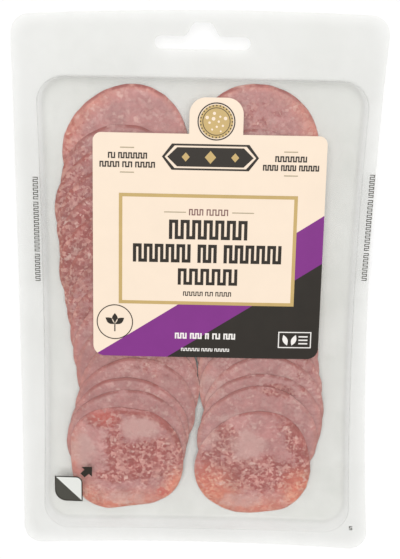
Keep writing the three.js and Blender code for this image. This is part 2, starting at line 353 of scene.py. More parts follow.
# %% [markdown]
# ## The tray
# A thermoformed tray is one sheet: a flange, a rounded lip, a slightly drafted wall, a rounded
# foot and a floor. Solidify on an open surface would give the wall, but lofting the inner and
# the outer section separately keeps both roundings true. The hang hole is one more outline of
# the flange.

# %% Tray sizes
FLANGE_TOP = (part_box("tray")[1] / MM).z
TRAY_WALL = 0.5
PACK_CORNERS = [(-78.4, -121.5), (80.14, -122.0), (77.1, 121.2), (-80.1, 119.2)]
PACK_CORNER_RADIUS = 8
PACK_BOWS = (1.9, 4.2, -1.7, 0.6)
CAVITY_CORNERS = [(-69.0, -113.8), (71.4, -113.8), (70.3, 94.0), (-69.8, 94.0)]
CAVITY_CORNER_RADIUS = 11.5
CAVITY_BOWS = (0.6, 2.3, 0, 1.3)
LIP_ROUNDING = 0.45
WALL_DRAFT = 1.6
FLOOR_ROUNDING = 1.2
ROUNDING_STEPS = 6
TRAY_CELL = 12

HOLE_CENTRE_X = -0.3
SLOT_WIDTH = 39.9
SLOT_BOTTOM = 105.9
SLOT_HEIGHT = 5.3
PEAK_TOP = 116.9
PEAK_BASE_HALF = 8
PEAK_TOP_HALF = 2.6
PEAK_STEPS = 12


def cavity_outline(inset):
    """Outline of the cavity's mouth, moved inwards."""
    signs = [(1, 1), (-1, 1), (-1, -1), (1, -1)]
    corners = [(x + across * inset, y + along * inset)
               for (x, y), (across, along) in zip(CAVITY_CORNERS, signs)]
    return bowed_outline(corners, CAVITY_BOWS, CAVITY_CORNER_RADIUS - inset)


def hang_hole_outline():
    """A slot with round ends, and a peak with S-shaped flanks in its upper edge."""
    end = SLOT_HEIGHT / 2
    half = SLOT_WIDTH / 2 - end
    top = SLOT_BOTTOM + SLOT_HEIGHT
    shares = np.linspace(0, 1, PEAK_STEPS + 1)
    rise = top + (PEAK_TOP - top) * (3 * shares ** 2 - 2 * shares ** 3)
    bend = (PEAK_BASE_HALF + PEAK_TOP_HALF) / 2
    flank = (PEAK_BASE_HALF * (1 - shares) ** 3 + 3 * bend * shares * (1 - shares)
             + PEAK_TOP_HALF * shares ** 3)
    points = arc(half, SLOT_BOTTOM + end, end, -90, 90, CORNER_STEPS)
    points += list(zip(flank, rise))
    points += list(zip(-flank[::-1], rise[::-1]))
    points += arc(-half, SLOT_BOTTOM + end, end, 90, 270, CORNER_STEPS)
    return [(HOLE_CENTRE_X + x, y) for x, y in points]


PACK_OUTLINE = bowed_outline(PACK_CORNERS, PACK_BOWS, PACK_CORNER_RADIUS)
HANG_HOLE = hang_hole_outline()
print("pack outline has", len(PACK_OUTLINE), "points and the hole", len(HANG_HOLE))

# %% Tray section and skin
def bent(start, corner, end):
    """Points on a rounding from start to end that bends round a corner."""
    shares = np.linspace(0, 1, ROUNDING_STEPS + 1)[:, None]
    start, corner, end = map(np.array, (start, corner, end))
    return (1 - shares) ** 2 * start + 2 * shares * (1 - shares) * corner + shares ** 2 * end


def cavity_section():
    """Inner face of the cavity as inset from its mouth and height, from lip to floor."""
    slope = WALL_DRAFT / (FLANGE_TOP - TRAY_WALL)
    wall_top = (slope * LIP_ROUNDING, FLANGE_TOP - LIP_ROUNDING)
    wall_foot = (WALL_DRAFT - slope * FLOOR_ROUNDING, TRAY_WALL + FLOOR_ROUNDING)
    floor_edge = (WALL_DRAFT + FLOOR_ROUNDING, TRAY_WALL)
    lip = bent((-LIP_ROUNDING, FLANGE_TOP), (0, FLANGE_TOP), wall_top)
    foot = bent(wall_foot, (WALL_DRAFT, TRAY_WALL), floor_edge)
    return np.vstack((lip, foot))


def skin(section, shift):
    """Rings of the section all round the cavity, and the flat fills of floor and flange."""
    rings = [cavity_outline(inset - shift) for inset, _ in section]
    heights = [height - shift for _, height in section]
    points = [(x, y, z) for ring, z in zip(rings, heights) for x, y in ring]
    size = len(rings[0])
    faces = []
    for i in range(len(rings) - 1):
        for j in range(size):
            a, b = i * size + j, i * size + (j + 1) % size
            faces.append((a, b, b + size, a + size))
    flange = [PACK_OUTLINE, HANG_HOLE, rings[0]]
    for outlines, z in ((flange, heights[0]), ([rings[-1]], heights[-1])):
        flat, triangles = fill(outlines, TRAY_CELL)
        first = len(points)
        points += [(x, y, z) for x, y in flat]
        faces += [tuple(first + corner for corner in face) for face in triangles]
    return points, faces


def rim_wall(outline, low, high):
    """Upright wall along an outline."""
    size = len(outline)
    points = [(x, y, z) for z in (low, high) for x, y in outline]
    faces = [(i, (i + 1) % size, size + (i + 1) % size, size + i) for i in range(size)]
    return points, faces


def make_tray(material):
    section = cavity_section()
    parts = [skin(section, 0), skin(section, TRAY_WALL)]
    for outline in (PACK_OUTLINE, HANG_HOLE):
        parts.append(rim_wall(outline, FLANGE_TOP - TRAY_WALL, FLANGE_TOP))
    points, faces = [], []
    for part_points, part_faces in parts:
        first = len(points)
        points += part_points
        faces += [tuple(first + corner for corner in face) for face in part_faces]
    tray = new_piece("clear_tray", points, faces, material)
    shade_smooth(tray)
    return tray

# %% [markdown]
# ## Clear plastic
# A clear sheet could be glass with refraction, but through five layers that gets noisy and dark.
# A Principled shader that is mostly transparent keeps the pack bright: what little of it is
# opaque acts as the faint haze, and Layer Weight makes the walls denser where they are seen
# edge on. Noise varies the haze, as grease and handling do. Near the floor of the tray the dark
# grey haze grows denser, a painted shade deep in the cavity.

# %% Clear plastic material
# Painted shade: how much denser the haze is on the tray's floor, fading out between these heights.
FLOOR_SHADE_HAZE = 1.6
FLOOR_SHADE_HEIGHTS = (1.0, 4.0)
CLOUD_DETAIL = (3.0, 0.6)
CLOUD_LIMITS = (0.3, 0.7)
PLASTIC_IOR = 1.5
EDGE_BLEND = 0.35
EDGE_SHARPNESS = 4.0
RIPPLE_SCALE = 0.06
RIPPLE_STRENGTH = 0.25
RIPPLE_DEPTH = 0.8


def clear_plastic(name, colour, haze, edge_haze, roughness, cloud_size, cloud_depth):
    """Mostly transparent plastic: haze when faced, edge_haze when seen edge on."""
    material, tree, shader, places = new_material(name, roughness)
    clouds = noise(tree, places, 1 / cloud_size, *CLOUD_DETAIL)
    varied = ranged(clouds, *CLOUD_LIMITS, haze * (1 - cloud_depth), haze * (1 + cloud_depth))
    height = flow(tree, "ShaderNodeSeparateXYZ", {0: places}, 2)
    # Painted shade: towards the floor of the tray the dark grey haze grows denser.
    faced = varied * ranged(height, *FLOOR_SHADE_HEIGHTS, FLOOR_SHADE_HAZE, 1.0)
    facing = flow(tree, "ShaderNodeLayerWeight", {"Blend": EDGE_BLEND}, "Facing")
    alpha = flow(tree, "ShaderNodeMix", {0: facing ** EDGE_SHARPNESS, 2: faced, 3: edge_haze})
    ripples = relief(noise(tree, places, RIPPLE_SCALE, 2.0), RIPPLE_STRENGTH, RIPPLE_DEPTH)
    feed(shader, {"Base Color": (*colour, 1), "IOR": PLASTIC_IOR, "Alpha": alpha,
                  "Normal": ripples})
    return material


TRAY_PLASTIC = clear_plastic("clear_tray_plastic", (0.60, 0.61, 0.55), 0.112, 0.5, 0.22, 35, 0.2)
tray = make_tray(TRAY_PLASTIC)
dress(tray, "tray", "tray")

# %% [markdown]
# ## The lid film
# The film is welded flat on the flange and domes up over the food. It is one thin sheet whose
# height is a formula, so the label and the prints can use the same formula and lie exactly on
# it. A cloth simulation would also dome it, but the parts on it would then need projecting. The
# weld ends in a fine line round the mouth of the cavity, where the tray's bent lip also shows a
# dark line as light bends through it. A narrow ring of dark, denser plastic stands for both:
# partly the weld's edge, partly a painted shade for the lip. A texture would do, but the ring also
# shows in the plain mesh.

# %% Film height
FILM_THICKNESS = 0.1
WELD_GAP = 0.02
DOME_HEIGHT = (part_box("film")[1] / MM).z - FILM_THICKNESS - FLANGE_TOP - WELD_GAP
DOME_SQUARENESS = 4


def film_underside(x, y):
    """Height of the film's lower face above the floor."""
    (left, bottom), _, (right_edge, top), _ = CAVITY_CORNERS
    across = np.clip(np.abs(2 * x - left - right_edge) / (right_edge - left), 0, 1)
    along = np.clip(np.abs(2 * y - bottom - top) / (top - bottom), 0, 1)
    dome = (1 - across ** DOME_SQUARENESS) * (1 - along ** DOME_SQUARENESS)
    return FLANGE_TOP + WELD_GAP + DOME_HEIGHT * dome


def above_film(lift):
    """A height function that runs the given distance above the film's upper face."""
    return lambda x, y: film_underside(x, y) + FILM_THICKNESS + lift


FILM_PLASTIC = clear_plastic("clear_lid_film", (0.86, 0.86, 0.80), 0.034, 0.3, 0.2, 22, 0.35)
film = sheet("lid_film", [PACK_OUTLINE, HANG_HOLE], film_underside, above_film(0), FILM_PLASTIC)
shade_smooth(film)
dress(film, "film", "film")

# %% Seal edge and lip shade
SEAL_WIDTH = 0.32
SEAL_WIDER_AT_TOP = 0.2
SEAL_ROOT = 0.01
SEAL_HEIGHT = 0.025
# Partly painted shade: the ring's dark haze also stands for the dark line of the tray's bent lip,
# and it is wider along the top, where that line is darker.
SEAL_AND_LIP_SHADE = clear_plastic("seal_edge", (0.40, 0.41, 0.38), 0.11, 0.4, 0.3, 28, 0.9)
seal_outlines = [cavity_outline(0),
                 [(x, y - SEAL_WIDER_AT_TOP) for x, y in cavity_outline(SEAL_WIDTH)]]
seal = sheet("film_seal_edge", seal_outlines, above_film(-SEAL_ROOT), above_film(SEAL_HEIGHT),
             SEAL_AND_LIP_SHADE)
dress(seal, "film")

# %% [markdown]
# ## The salami slices
# Each slice is the same thing with other numbers, so one Geometry Nodes tree makes them all: a
# box of many cells is squashed into a disc, lobes and small nicks make its rim uneven, and its
# height follows a ramp. Shingled slices lean on the slices under them, and the ramp
# holds that slope for the whole column, so the slices nest without cutting through each other.

# %% Places of the slices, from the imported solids
SLICES_IN_COLUMN = 16
SIDES = ("left", "right")
SLICE_THICKNESS = 1.3
SLICE_GAP = 0.12
SLICE_LAYER = SLICE_THICKNESS + SLICE_GAP
FLOOR_CLEARANCE = 0.5
SLOPE_REACH = 9
RAMP_STEP = 3
RAMP_REACH = 124
RAMP_HALF_WIDTH = 90


def slice_node(side, index):
    return f"slice_{side}_{index + 1:02d}"


def slices_passed(ends, y):
    """How many lower ends of slices lie above a place along the column, as a fraction."""
    if y >= ends[0]:
        return 1 - (y - ends[0]) / (ends[0] - ends[1])
    return float(np.interp(-y, [-end for end in ends], range(1, len(ends) + 1)))


def make_ramp(side):
    """A ribbon along the column whose height says how far a slice there has sunk."""
    ends = [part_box(slice_node(side, i))[0].y / MM for i in range(SLICES_IN_COLUMN)]
    ys = np.arange(-RAMP_REACH, RAMP_REACH + RAMP_STEP, RAMP_STEP)
    shifts = np.array([-1, -0.5, 0, 0.5, 1]) * SLOPE_REACH
    passed = [np.mean([slices_passed(ends, y + shift) for shift in shifts]) for y in ys]
    sunk = [max(0, layers - 1) for layers in passed]
    points = [(x, y, SLICE_LAYER * z) for y, z in zip(ys, sunk)
              for x in (-RAMP_HALF_WIDTH, RAMP_HALF_WIDTH)]
    faces = [(2 * i, 2 * i + 1, 2 * i + 3, 2 * i + 2) for i in range(len(ys) - 1)]
    mesh = bpy.data.meshes.new(f"ramp_{side}")
    mesh.from_pydata((np.array(points) * MM).tolist(), [], faces)
    ramp = bpy.data.objects.new(f"ramp_{side}", mesh)
    scene.collection.objects.link(ramp)
    print(f"ramp_{side}: {len(faces)} stretches, {max(sunk):.1f} layers deep")
    return ramp


RAMPS = {side: make_ramp(side) for side in SIDES}

# %% The slice tree: inputs
SLICE_INPUTS = {
    "Radius": "Float", "Thickness": "Float", "Lobe Depths": "Vector", "Lobe Turns": "Vector",
    "Nicks": "Float", "Seed": "Float", "Centre": "Vector", "Lift": "Float", "Ramp": "Object",
    "Wave": "Float", "Flat Side": "Vector", "Flat Depth": "Float", "Meat": "Material",
}


def slice_tree_inputs(tree):
    """Names every size that a slice takes, and returns them as Values."""
    for name, kind in SLICE_INPUTS.items():
        tree.interface.new_socket(name, in_out="INPUT", socket_type=f"NodeSocket{kind}")
    tree.interface.new_socket("Geometry", in_out="OUTPUT", socket_type="NodeSocketGeometry")
    sockets = wire(tree, "NodeGroupInput").outputs
    return {name: Value(sockets[name]) for name in SLICE_INPUTS}


def split(vector):
    """The three numbers of a vector."""
    node = wire(vector.tree, "ShaderNodeSeparateXYZ", {0: vector})
    return [Value(socket) for socket in node.outputs]


def joined(tree, x=0.0, y=0.0, z=0.0):
    """A vector from three numbers."""
    return flow(tree, "ShaderNodeCombineXYZ", {0: x, 1: y, 2: z})

# %% The slice tree: from box to disc
CELLS_ACROSS = 80
CELLS_THICK = 4
NICK_SCALE = 3.2
NICK_SHIFT = 31.0
NICK_LEVEL = 0.6
LOBE_COUNTS = (2, 3, 4)
LEAST_TOWARD = 0.2
FLAT_BLEND = 0.0012


def disc_places(tree):
    """A box of cells whose square face is pushed into a disc: mesh, direction, reach, level."""
    mesh = flow(tree, "GeometryNodeMeshCube", {
        "Size": (2, 2, 2), "Vertices X": CELLS_ACROSS + 1, "Vertices Y": CELLS_ACROSS + 1,
        "Vertices Z": CELLS_THICK + 1})
    x, y, level = split(flow(tree, "GeometryNodeInputPosition"))
    # The further out along one side, the more the other side is narrowed.
    narrow_x = x * (y * y * -0.5 + 1.0).maths("SQRT")
    narrow_y = y * (x * x * -0.5 + 1.0).maths("SQRT")
    flat = joined(tree, narrow_x, narrow_y)
    reach = flow(tree, "ShaderNodeVectorMath", {0: flat}, "Value", operation="LENGTH")
    direction = flow(tree, "ShaderNodeVectorMath", {0: flat}, operation="NORMALIZE")
    return mesh, direction, reach, level


def around(sizes, direction, scale, shift):
    """Noise from 0 to 1 that changes round the rim and from slice to slice."""
    return noise(direction.tree, direction, scale, 2.0, seed=sizes["Seed"] + shift)


def rim_distance(sizes, direction):
    """The slice's radius in a direction: lobes, nicks and one flat stretch."""
    along, across, _ = split(direction)
    bearing = across.maths("ARCTAN2", along)
    share = (around(sizes, direction, NICK_SCALE, NICK_SHIFT) - NICK_LEVEL) * sizes["Nicks"] + 1.0
    lobes = zip(LOBE_COUNTS, split(sizes["Lobe Depths"]), split(sizes["Lobe Turns"]))
    for count, depth, turn in lobes:
        share = share + ((bearing - turn) * count).maths("COSINE") * depth
    toward = flow(direction.tree, "ShaderNodeVectorMath", {0: direction, 1: sizes["Flat Side"]},
                  "Value", operation="DOT_PRODUCT")
    chord = (sizes["Radius"] - sizes["Flat Depth"]) / toward.maths("MAXIMUM", LEAST_TOWARD)
    return (sizes["Radius"] * share).maths("SMOOTH_MIN", chord, FLAT_BLEND)

# %% The slice tree: height and finish
RIM_ROUNDING = 0.3
RIM_SHARPNESS = 14.0
RIM_THINNING = (0.35, 0.95)
THINNING_SHARPNESS = 16.0
THINNING_SCALE = 1.6
THINNING_SHIFT = 57.0
THINNING_LIMITS = (0.35, 0.6)
WAVE_LENGTH = 0.022
RAY_START = 1.0


def sunk_depth(sizes, y):
    """How far the ramp lies under a place along the column, found with a ray from above."""
    ramp = flow(y.tree, "GeometryNodeObjectInfo", {"Object": sizes["Ramp"]}, "Geometry")
    hit = flow(y.tree, "GeometryNodeRaycast", {
        "Target Geometry": ramp, "Source Position": joined(y.tree, 0.0, y, RAY_START),
        "Ray Direction": (0, 0, -1), "Ray Length": 2 * RAY_START}, "Hit Position")
    return split(hit)[2]


def build_slice_tree():
    tree = bpy.data.node_groups.new("salami_slice", "GeometryNodeTree")
    sizes = slice_tree_inputs(tree)
    mesh, direction, reach, level = disc_places(tree)
    rounding = level * level * reach ** RIM_SHARPNESS * (sizes["Thickness"] * RIM_ROUNDING)
    distance = reach * rim_distance(sizes, direction) - rounding
    spread = flow(tree, "ShaderNodeVectorMath", {0: direction, "Scale": distance},
                  operation="SCALE")
    place = flow(tree, "ShaderNodeVectorMath", {0: spread, 1: sizes["Centre"]}, operation="ADD")
    x, y, _ = split(place)

    half = sizes["Thickness"] * 0.5
    height = level * half + half
    thinning = ranged(around(sizes, direction, THINNING_SCALE, THINNING_SHIFT),
                      *THINNING_LIMITS, *RIM_THINNING)
    height = height - height * reach ** THINNING_SHARPNESS * thinning
    wave = noise(tree, joined(tree, x, y), 1 / WAVE_LENGTH, 1.0) * sizes["Wave"]
    height = height + sizes["Lift"] - wave - sunk_depth(sizes, y)

    for name, value in (("rim", reach), ("slice_seed", sizes["Seed"])):
        mesh = flow(tree, "GeometryNodeStoreNamedAttribute", {
            "Geometry": mesh, "Name": name, "Value": value}, data_type="FLOAT", domain="POINT")
    for kind, values in (
        ("SetPosition", {"Position": joined(tree, x, y, height)}), ("SetShadeSmooth", {}),
        ("RealizeInstances", {}), ("SetMaterial", {"Material": sizes["Meat"]}),
    ):
        mesh = flow(tree, "GeometryNode" + kind, {"Geometry": mesh, **values})
    wire(tree, "NodeGroupOutput", {"Geometry": mesh})
    return tree


SLICE_TREE = build_slice_tree()
print("slice tree has", len(SLICE_TREE.nodes), "nodes")

# %% [markdown]
# ## Cured meat
# A slice of salami is a mosaic of dark lean meat and pale fat in pieces of a millimetre or two.
# Noise alone gives blots of one kind, so Voronoi cells on noise-bent coordinates give the tones
# of the pieces and noise adds the small flecks. Each slice's seed shifts both, so no two slices
# show the same pieces. Python paints six attributes for the rest: "wet" where the film touches
# and the face turns dark, glossy and sharp, "pale" where it stands off and hazes the face,
# "glow" on thin rims, a painted light as if light shone through them from the pale tray,
# "dark" on broken stretches of a rim, partly the casing's edge and partly a painted shadow where
# one slice steps over the next, "red" on a few spots, and "shade" on a whole slice, a painted
# shade that darkens every slice but the first and the last.

# %% Meat colours and patterns
LEAN_DRY = (0.48, 0.205, 0.195, 1)
FAT_DRY = (0.61, 0.345, 0.315, 1)
LEAN_WET = (0.345, 0.080, 0.073, 1)
FAT_WET = (0.61, 0.30, 0.26, 1)
FLECK = (0.73, 0.47, 0.41, 1)
# Painted light: the lit colours that thin rims take, as if light shone through them from the pale
# tray.
LEAN_RIM_LIT = (0.64, 0.185, 0.115, 1)
FAT_RIM_LIT = (0.79, 0.42, 0.30, 1)
PALE = (0.62, 0.40, 0.36, 1)
RED = (0.57, 0.115, 0.085, 1)
# Dark spots in the meat; the same colour also paints the shadow line along upper rims.
SPOT_AND_RIM_SHADOW = (0.33, 0.075, 0.064, 1)

# Each noise: scale per millimetre, detail, roughness, and the shift that sets it apart.
MEAT_NOISES = {
    "ragged": (0.3, 4.0, 0.7, 40.0), "tone": (0.75, 3.0, 0.6, 0.0),
    "veil": (0.1, 2.0, 0.6, 70.0), "fleck": (0.37, 2.0, 0.5, 15.0),
    "spot": (0.42, 3.0, 0.6, 60.0), "casing_shadow": (0.14, 3.0, 0.65, 90.0),
    "mottle": (0.15, 3.0, 0.65, 80.0), "drift": (0.2, 4.0, 0.7, 130.0),
    "relief": (0.5, 4.0, 0.6, 0.0),
}
# Where a value makes patches: none up to the first limit, full from the second.
LIMITS = {
    "veil": (0.35, 0.65), "fleck": (0.60, 0.69), "spot": (0.52, 0.68), "casing_shadow": (0.36, 0.52),
    "touched": (0.02, 0.2), "wetness": (0.25, 0.6), "fat": (0.5, 1.4), "red": (1.2, 0.8),
    "haze": (0.2, 0.8),
}
# What 0 and 1 of a noise, or of the wetness, are carried over to.
SWINGS = {
    "ragged": (-1, 1), "veil": (0.2, 0.75), "fleck": (0.45, 0.75), "spot": (0.15, 0.75),
    "mottle": (0.55, 1.45), "drift": (-1.1, 1.1), "roughness": (0.52, 0.30),
}
CELL_SCALE = 0.76
CELL_BEND = (0.8, 0.8, 0.8)
BEND_SCALE = 0.5
TONE_NOISE = 0.7
MOST_HAZE = 0.5
RELIEF_SHARES = (0.6, 0.4)
MEAT_RELIEF = 0.3
MEAT_GLOSS = 0.3


def mixed(factor, a, b):
    """One colour blended into another."""
    return flow(factor.tree, "ShaderNodeMix", {0: factor, 6: a, 7: b}, 2, data_type="RGBA")


def patches(name, value):
    """0 up to the first limit, 1 from the second, and smooth between."""
    return ranged(value, *LIMITS[name], kind="SMOOTHSTEP")


def swung(name, value):
    """The value carried over to its swing."""
    at_zero, at_one = SWINGS[name]
    return value * (at_one - at_zero) + at_zero

# %% Meat material
def cell_tone(tree, places, seed):
    """A random number from 0 to 1 for each bent Voronoi cell."""
    bend = flow(tree, "ShaderNodeTexNoise",
                {"Vector": places, "Scale": BEND_SCALE, "Detail": 3.0}, "Color")
    bent_places = flow(tree, "ShaderNodeVectorMath", {0: bend, 1: CELL_BEND, 2: places},
                       operation="MULTIPLY_ADD")
    moved = flow(tree, "ShaderNodeVectorMath", {0: bent_places, 1: seed})
    cells = flow(tree, "ShaderNodeTexVoronoi", {"Vector": moved, "Scale": CELL_SCALE}, "Color")
    return flow(tree, "ShaderNodeSeparateColor", {0: cells})


def make_meat():
    material, tree, shader, places = new_material("cured_meat", 0.5)

    def stored(name):
        return flow(tree, "ShaderNodeAttribute", output="Fac", attribute_name=name)

    def drawn(name):
        scale, detail, roughness, shift = MEAT_NOISES[name]
        return noise(tree, places, scale, detail, roughness, stored("slice_seed") + shift)

    wet, glow, pale = stored("wet"), stored("glow"), stored("pale")
    wetness = patches("wetness", wet + swung("ragged", drawn("ragged"))) * patches("touched", wet)
    # Painted light on thin rims: lean and fat mix towards lit colours there.
    lean = mixed(glow, mixed(wetness, LEAN_DRY, LEAN_WET), LEAN_RIM_LIT)
    fat = mixed(glow, mixed(wetness, FAT_DRY, FAT_WET), FAT_RIM_LIT)
    tone = cell_tone(tree, places, stored("slice_seed")) + drawn("tone") * TONE_NOISE
    fatness = patches("fat", tone)
    clearness = swung("veil", patches("veil", drawn("veil"))).maths("MAXIMUM", wetness)
    ground = mixed(fatness * clearness, lean, fat)
    flecked = mixed(patches("fleck", drawn("fleck")) * swung("fleck", wetness), ground, FLECK)
    spotted = mixed(patches("spot", drawn("spot")) * swung("spot", wet), flecked, SPOT_AND_RIM_SHADOW)
    # Broken dark stretches of the upper rims: partly the casing's edge, partly a painted shadow
    # where one slice steps over the next.
    casing_shadowed = mixed(stored("dark") * patches("casing_shadow", drawn("casing_shadow")), spotted, SPOT_AND_RIM_SHADOW)
    # Random mottling, times a painted shade on the slices between the first and the last.
    shade = swung("mottle", drawn("mottle")) * stored("shade")
    toned = flow(tree, "ShaderNodeHueSaturation", {"Color": casing_shadowed, "Value": shade})
    reddened = mixed(stored("red") * patches("red", tone), toned, RED)
    haze = patches("haze", pale + swung("drift", drawn("drift")))
    hazed = mixed(haze * pale.maths("MINIMUM", MOST_HAZE), reddened, PALE)
    heights = drawn("relief") * RELIEF_SHARES[0] + fatness * RELIEF_SHARES[1]
    feed(shader, {
        "Base Color": hazed, "Roughness": swung("roughness", wetness),
        "Specular IOR Level": MEAT_GLOSS, "Normal": relief(heights, 0.5, MEAT_RELIEF)})
    return material


MEAT = make_meat()

# %% [markdown]
# ## Setting the slices out
# Each slice gets its centre and radius from the box of its solid and its height from its place
# in the column. The evaluated tree is turned into a plain mesh with new_from_object. The six
# attributes could be painted inside the tree too, but Python keeps their many places in short
# lists of ellipses and rim stretches.

# %% Where the film touches or stands off, and where a rim is wet, dark or warm
# Each touch is an ellipse: centre x and y, half length, half width, turn in degrees, strength.
# The last slice of a column, which lies on top, has its own.
TOUCHES = {
    ("left", "column"): {
        "wet": [(-55, 28, 14, 46, 0, 0.75), (-20, -30, 16, 9, 0, 0.4)],
        "pale": [(-12, -40, 9, 12, 30, 0.35), (-40, 30, 6, 60, 0, 0.2)],
    },
    ("right", "column"): {
        "wet": [(36, -44.5, 8, 3.2, -5, 0.95), (24, 78, 14, 8, 0, 0.35), (48, -30, 5, 20, 0, 0.4)],
        "pale": [(6, -44, 10, 10, 0, 0.6), (26, -58, 22, 3.5, 4, 0.7), (42, -34, 10, 6, 0, 0.4)],
    },
    ("left", "last"): {
        "wet": [(-41, -60, 8, 4.6, 0, 1), (-36.8, -77, 4.2, 15, 0, 0.9),
                (-20, -80.5, 19, 12, 5, 1), (-37, -90, 8.5, 4.2, 0, 0.9)],
        "pale": [(-52, -75, 7, 10, 0, 0.9), (-25.5, -64, 9, 6.5, 0, 1),
                 (-32, -102, 15, 3.5, 0, 0.8)],
        "red": [(-14.5, -97.6, 2.4, 2.0, 0, 3), (-42, -59, 6.5, 4, 0, 0.6)],
    },
    ("right", "last"): {
        "wet": [(13, -70.5, 7, 9.5, 0, 1), (8, -81, 7, 4.5, -30, 0.9), (28, -87.5, 25, 9.5, 0, 1)],
        "pale": [(23, -72, 9, 9, 0, 1), (22, -102, 13, 4, 0, 0.9), (6, -68, 6, 7, 0, 0.7)],
        "red": [(4, -90, 7, 10, 20, 0.4), (46, -92, 5, 5, 0, 0.4)],
    },
}
# Each stretch of a rim: the angle that it faces, how far round it reaches, width, strength.
# Every upper rim has a dark stretch, partly the casing's edge and partly a painted shadow where
# the slice steps over the one under it; every lower rim has a faint painted light.
EVERY_RIM = {"dark": [(90, 62, 1.5, 1.2)], "glow": [(-100, 170, 2.4, 0.35)]}
# The first and last slices get stronger painted light on rims that lie alone on the tray, and the
# last ones a wider dark stretch, partly painted shadow.
OWN_RIMS = {
    ("left", 0): {"glow": [(140, 62, 8, 0.5), (80, 60, 3, 0.4)]},
    ("right", 0): {"glow": [(25, 60, 8, 0.5), (95, 60, 3.5, 0.4)]},
    ("left", 15): {
        "wet": [(55, 80, 5, 1)], "dark": [(62, 80, 3.4, 1.3)],
        "glow": [(-100, 80, 12, 0.85), (-35, 34, 9, 0.95), (175, 45, 6, 0.5)],
    },
    ("right", 15): {
        "wet": [(18, 62, 12, 1)], "dark": [(40, 62, 3.4, 1.1)],
        "glow": [(-140, 48, 19, 1.1), (-30, 34, 14, 1.1), (-85, 60, 13, 0.75)],
    },
}
# Painted shade: the slices between the first and the last are a little darker than those two.
SHADE_BETWEEN = 0.9

# %% Paint the attributes
# Shares rise past 1 before they are cut off, so that a touch's middle is full.
TOUCH_PEAK = 1.4
SECTOR_PEAK = 1.5


def touch_share(x, y, touch):
    """The strength of a touch at its middle, down to 0 at its edge."""
    centre_x, centre_y, half_long, half_wide, turn, strength = touch
    c, s = math.cos(math.radians(turn)), math.sin(math.radians(turn))
    along = ((x - centre_x) * c + (y - centre_y) * s) / half_long
    across = ((y - centre_y) * c - (x - centre_x) * s) / half_wide
    return strength * np.clip(TOUCH_PEAK - np.sqrt(along ** 2 + across ** 2), 0, 1)


def rim_share(bearing, from_rim, stretch):
    """The strength of a stretch of rim at the rim, down to 0 inwards and at its two ends."""
    facing, spread, width, strength = stretch
    turned = np.abs((bearing - facing + 180) % 360 - 180)
    sector = np.clip(SECTOR_PEAK * (1 - turned / spread), 0, 1)
    return strength * sector * np.clip(TOUCH_PEAK * (1 - from_rim / width), 0, 1)


def paint(piece, side, index, centre, radius):
    """Stores the attributes wet, glow, dark, pale, red and shade on a slice; glow is painted
    light, dark is partly painted shadow and shade is painted shade.
    """
    mesh = piece.data
    places = np.empty(len(mesh.vertices) * 3)
    mesh.vertices.foreach_get("co", places)
    x, y, _ = places.reshape(-1, 3).T / MM
    reach = np.empty(len(x))
    mesh.attributes["rim"].data.foreach_get("value", reach)
    from_rim = (1 - reach) * radius
    bearing = np.degrees(np.arctan2(y - centre.y, x - centre.x))

    touches = TOUCHES[side, "last" if index == SLICES_IN_COLUMN - 1 else "column"]
    own_rims = OWN_RIMS.get((side, index), {})
    painted = {}
    for name in ("wet", "glow", "dark", "pale", "red"):
        stretches = EVERY_RIM.get(name, []) + own_rims.get(name, [])
        shares = [np.zeros(len(x))]
        shares += [touch_share(x, y, touch) for touch in touches.get(name, [])]
        shares += [rim_share(bearing, from_rim, stretch) for stretch in stretches]
        painted[name] = np.clip(np.max(shares, axis=0), 0, 1)
    between_ends = 0 < index < SLICES_IN_COLUMN - 1
    painted["shade"] = np.full(len(x), SHADE_BETWEEN if between_ends else 1.0)
    for name, values in painted.items():
        attribute = mesh.attributes.new(name, "FLOAT", "POINT")
        attribute.data.foreach_set("value", values.astype(np.float32))

# %% Make the slices
NICKS = 0.045
WAVE_DEPTH = 0.3
LIFT = TRAY_WALL + FLOOR_CLEARANCE
SEED_STEP = 3.7
SIDE_SEED = {"left": 11.0, "right": 87.0}
MOST_LOBE_DEPTHS = (0.018, 0.014, 0.010)
# The slices that show whole have their own lobes: depths of two, three and four lobes as shares
# of the radius, the angles that those face, the centre's shift, and the flat's angle and depth.
SHOWN_SHAPES = {
    ("left", 0): ((0.026, 0.019, 0.002), (43, -52, 13), (0, -0.1), (-90, 0)),
    ("left", 15): ((0.021, 0.029, 0.036), (-90, 1, -41), (-0.05, 0.5), (-81, 1.9)),
    ("right", 15): ((0.020, 0.035, 0.011), (66, -42, -42), (-0.5, -0.5), (-81, 1.3)),
}
lobe_draw = np.random.default_rng(5)


def slice_shape(side, index):
    """Lobe depths and turns, shift of the centre, and flat of a slice."""
    depths = lobe_draw.uniform((0, 0, 0), MOST_LOBE_DEPTHS)
    turns = lobe_draw.uniform(-180, 180, 3)
    return SHOWN_SHAPES.get((side, index), (depths, turns, (0, 0), (-90, 0)))


